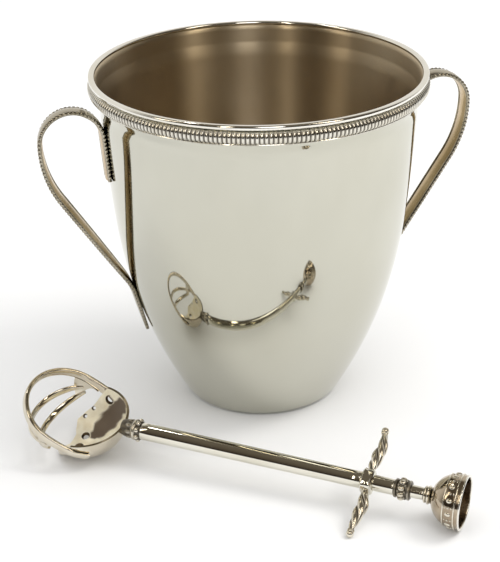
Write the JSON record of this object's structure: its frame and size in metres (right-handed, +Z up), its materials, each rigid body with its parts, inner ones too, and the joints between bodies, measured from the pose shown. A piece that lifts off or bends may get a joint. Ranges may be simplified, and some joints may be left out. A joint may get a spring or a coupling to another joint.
{
  "type": "champagne bucket with ice scoop",
  "caption": "Two-handled champagne bucket with a milled rim band and strap handles, with its matching openwork ice scoop lying in front.",
  "frame": {"origin": "centre of the bucket's flat base, on the table", "axes": "+Z up, the handles along X, the scoop on the table towards -Y"},
  "size_m": [0.3021, 0.3172, 0.214],
  "materials": {
    "polished_silver": "polished silver plate, faint tarnish",
    "aged_silver": "silver plate worn warm on the inner faces",
    "milled_silver": "milled silver plate, dark in the grooves",
    "antiqued_silver": "cast silver plate, dark in the recesses",
    "bare_brass": "machined brass"
  },
  "bodies": {
    "bucket": {"bucket_wall": "polished_silver", "rim_bead": "polished_silver", "rim_milled_band": "milled_silver", "rim_lower_wire": "polished_silver", "left_handle_strap": "aged_silver", "left_handle_front_wire": "milled_silver", "left_handle_back_wire": "milled_silver", "right_handle_strap": "aged_silver", "right_handle_front_wire": "milled_silver", "right_handle_back_wire": "milled_silver"},
    "scoop": {"bowl_heel": "polished_silver", "bowl_hoop": "polished_silver", "upper_rib": "polished_silver", "lower_rib": "polished_silver", "far_rib_root": "polished_silver", "near_rib_root": "polished_silver", "head_collar": "antiqued_silver", "tie_rod": "bare_brass", "shaft_tube": "polished_silver", "guard_hub": "polished_silver", "far_quillon": "antiqued_silver", "near_quillon": "antiqued_silver", "grip_tube": "polished_silver", "grip_knop": "antiqued_silver", "neck_tube": "polished_silver", "cup_collar": "antiqued_silver", "measure_cup": "polished_silver", "cup_ornament_band": "antiqued_silver", "cup_rim_wire": "polished_silver", "cup_screw": "bare_brass"}
  },
  "joints": [
    {"name": "scoop_lift", "type": "slide", "parent": "bucket", "child": "scoop", "axis": [0, 0, 1], "range_m": [0, 0.3]}
  ]
}
